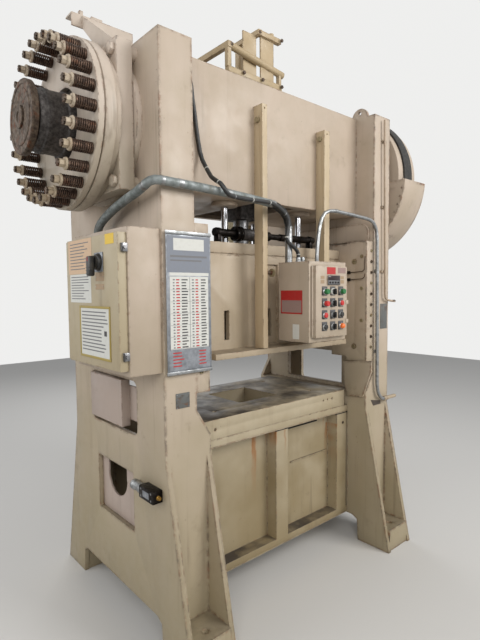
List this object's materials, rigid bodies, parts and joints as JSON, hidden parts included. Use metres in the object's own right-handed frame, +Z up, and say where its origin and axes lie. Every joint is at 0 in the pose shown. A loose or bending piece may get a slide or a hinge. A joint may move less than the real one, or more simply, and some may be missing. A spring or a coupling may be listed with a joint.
{
  "type": "mechanical stamping press",
  "caption": "Straight-side single-crank stamping press with a spring-set disc brake, belt-driven flywheel, guided slide, bolster, control cabinet and operator panel.",
  "frame": {"origin": "bottom centre of the whole part's bounding box, on the floor", "axes": "+Z up; -Y towards the operator's side; the brake is at -X and the flywheel at +X"},
  "size_m": [2.447, 1.588, 2.935],
  "materials": {
    "cream_paint": "worn cream paint, chipped and stained",
    "bed_paint": "worn cream paint, dirty with oil",
    "door_paint": "worn beige paint",
    "tan_paint": "tan paint, dusty",
    "olive_paint": "olive paint, dirty",
    "machined_steel": "machined, oily",
    "chrome_rod": "polished",
    "dark_steel": "dark, oily",
    "spring_steel": "browned spring steel",
    "rusty_steel": "brown surface rust",
    "cast": "dark grey, oily",
    "bronze": "oiled bearing bronze",
    "belt_rubber": "matt black",
    "lining": "brake lining",
    "galvanised": "dull zinc",
    "black_cable": "black sheath",
    "chart_sheet": "printed sheet, weathered",
    "legend": "satin",
    "black_plastic": "black",
    "green_plastic": "green",
    "red_plastic": "red",
    "orange_lamp": "orange lens",
    "pink_paint": "pinkish primer, worn"
  },
  "bodies": {
    "frame": {"left_upright": "cream_paint", "right_upright": "cream_paint", "crown": "cream_paint", "bed": "bed_paint", "bolster": "bed_paint", "gibs": "cream_paint", "frame_bolts": "olive_paint", "knockout_bars": "cream_paint", "main_bushings": "bronze", "gib_plates": "cream_paint", "counterbalance_cylinders": "cream_paint", "brake_plate": "cream_paint", "brake_bolts": "cream_paint", "brake_housing": "cream_paint", "spring_studs": "rusty_steel", "flywheel_guard": "cream_paint", "motor": "olive_paint", "drive_belt": "belt_rubber", "motor_bracket": "cream_paint", "top_beam": "pink_paint", "top_frame": "tan_paint", "cabinet_box": "cream_paint", "panel_box": "cream_paint", "conduits": "galvanised", "cables": "black_cable", "chart_sign": "chart_sheet", "side_covers": "pink_paint", "air_valve": "dark_steel", "air_pipe": "galvanised"},
    "slide_body": {"slide": "cream_paint", "adjust_shaft": "dark_steel", "counterbalance_rods": "chrome_rod"},
    "crank": {"crankshaft": "machined_steel", "friction_disc": "lining", "brake_hub": "cast", "end_disc": "rusty_steel"},
    "pitman_body": {"pitman": "cast", "adjusting_screw": "machined_steel"},
    "brake_ring": {"pressure_ring": "cream_paint", "brake_springs": "spring_steel"},
    "flywheel_body": {"flywheel": "cream_paint", "flywheel_bearing": "bronze"},
    "sheave": {"motor_sheave": "cast"},
    "cabinet_leaf": {"cabinet_door": "door_paint", "door_clamps": "machined_steel"},
    "disconnect": {"disconnect_handle": "black_plastic"},
    "panel_leaf": {"panel_door": "cream_paint", "legend_plates": "legend"},
    "start_button_body": {"start_button": "green_plastic"},
    "inch_button_body": {"inch_button": "green_plastic"},
    "stop_button_body": {"stop_button": "red_plastic"},
    "top_stop_button_body": {"top_stop_button": "red_plastic"},
    "reset_button_body": {"reset_button": "red_plastic"},
    "bar_button_body": {"bar_button": "black_plastic"},
    "air_button_body": {"air_button": "black_plastic"},
    "fault_button_body": {"fault_button": "orange_lamp"},
    "mode_selector_body": {"mode_selector": "black_plastic"},
    "count_selector_body": {"count_selector": "black_plastic"},
    "light_selector_body": {"light_selector": "black_plastic"},
    "brake_selector_body": {"brake_selector": "black_plastic"}
  },
  "joints": [
    {"name": "slide_stroke", "type": "slide", "parent": "frame", "child": "slide_body", "axis": [0, 0, 1], "range_m": [-0.1, 0]},
    {"name": "crank_turn", "type": "hinge", "parent": "frame", "child": "crank", "pos_m": [0.021, -0.145, 2.337], "axis": [1, 0, 0], "range_deg": [0, 180.1]},
    {"name": "crankpin_turn", "type": "hinge", "parent": "crank", "child": "pitman_body", "pos_m": [0.021, -0.145, 2.387], "axis": [1, 0, 0], "range_deg": [-180.1, 0]},
    {"name": "brake_release", "type": "slide", "parent": "frame", "child": "brake_ring", "axis": [-1, 0, 0], "range_m": [0, 0.002], "stiffness_N_per_m": 400000, "springref_m": -0.001},
    {"name": "flywheel_spin", "type": "hinge", "parent": "frame", "child": "flywheel_body", "pos_m": [1.0835, -0.145, 2.337], "axis": [1, 0, 0], "continuous": true},
    {"name": "sheave_spin", "type": "hinge", "parent": "frame", "child": "sheave", "pos_m": [1.0835, 0.655, 2.087], "axis": [1, 0, 0], "continuous": true},
    {"name": "cabinet_hinge", "type": "hinge", "parent": "frame", "child": "cabinet_leaf", "pos_m": [-0.9719, -0.084, 1.554], "axis": [0, 0, -1], "range_deg": [0, 110]},
    {"name": "disconnect_turn", "type": "hinge", "parent": "cabinet_leaf", "child": "disconnect", "pos_m": [-1.0115, -0.429, 1.719], "axis": [1, 0, 0], "range_deg": [0, 90]},
    {"name": "panel_hinge", "type": "hinge", "parent": "frame", "child": "panel_leaf", "pos_m": [-0.0375, -0.748, 1.535], "axis": [0, 0, -1], "range_deg": [0, 110]},
    {"name": "start_push", "type": "slide", "parent": "panel_leaf", "child": "start_button_body", "axis": [0, 1, 0], "range_m": [0, 0.005], "stiffness_N_per_m": 500, "springref_m": -0.003},
    {"name": "inch_push", "type": "slide", "parent": "panel_leaf", "child": "inch_button_body", "axis": [0, 1, 0], "range_m": [0, 0.005], "stiffness_N_per_m": 500, "springref_m": -0.003},
    {"name": "stop_push", "type": "slide", "parent": "panel_leaf", "child": "stop_button_body", "axis": [0, 1, 0], "range_m": [0, 0.005], "stiffness_N_per_m": 500, "springref_m": -0.003},
    {"name": "top_stop_push", "type": "slide", "parent": "panel_leaf", "child": "top_stop_button_body", "axis": [0, 1, 0], "range_m": [0, 0.005], "stiffness_N_per_m": 500, "springref_m": -0.003},
    {"name": "reset_push", "type": "slide", "parent": "panel_leaf", "child": "reset_button_body", "axis": [0, 1, 0], "range_m": [0, 0.005], "stiffness_N_per_m": 500, "springref_m": -0.003},
    {"name": "bar_push", "type": "slide", "parent": "panel_leaf", "child": "bar_button_body", "axis": [0, 1, 0], "range_m": [0, 0.005], "stiffness_N_per_m": 500, "springref_m": -0.003},
    {"name": "air_push", "type": "slide", "parent": "panel_leaf", "child": "air_button_body", "axis": [0, 1, 0], "range_m": [0, 0.005], "stiffness_N_per_m": 500, "springref_m": -0.003},
    {"name": "fault_push", "type": "slide", "parent": "panel_leaf", "child": "fault_button_body", "axis": [0, 1, 0], "range_m": [0, 0.005], "stiffness_N_per_m": 500, "springref_m": -0.003},
    {"name": "mode_turn", "type": "hinge", "parent": "panel_leaf", "child": "mode_selector_body", "pos_m": [0.1035, -0.775, 1.587], "axis": [0, 1, 0], "range_deg": [-45, 45]},
    {"name": "count_turn", "type": "hinge", "parent": "panel_leaf", "child": "count_selector_body", "pos_m": [0.1035, -0.775, 1.527], "axis": [0, 1, 0], "range_deg": [-45, 45]},
    {"name": "light_turn", "type": "hinge", "parent": "panel_leaf", "child": "light_selector_body", "pos_m": [0.1035, -0.775, 1.467], "axis": [0, 1, 0], "range_deg": [-45, 45]},
    {"name": "brake_turn", "type": "hinge", "parent": "panel_leaf", "child": "brake_selector_body", "pos_m": [0.1035, -0.775, 1.407], "axis": [0, 1, 0], "range_deg": [-45, 45]}
  ],
  "couplings": [
    {"joint": "crank_turn", "follows": "slide_stroke", "rad_per_m": -31.416},
    {"joint": "crankpin_turn", "follows": "slide_stroke", "rad_per_m": 31.416},
    {"joint": "sheave_spin", "follows": "flywheel_spin", "ratio": 4.2065}
  ]
}
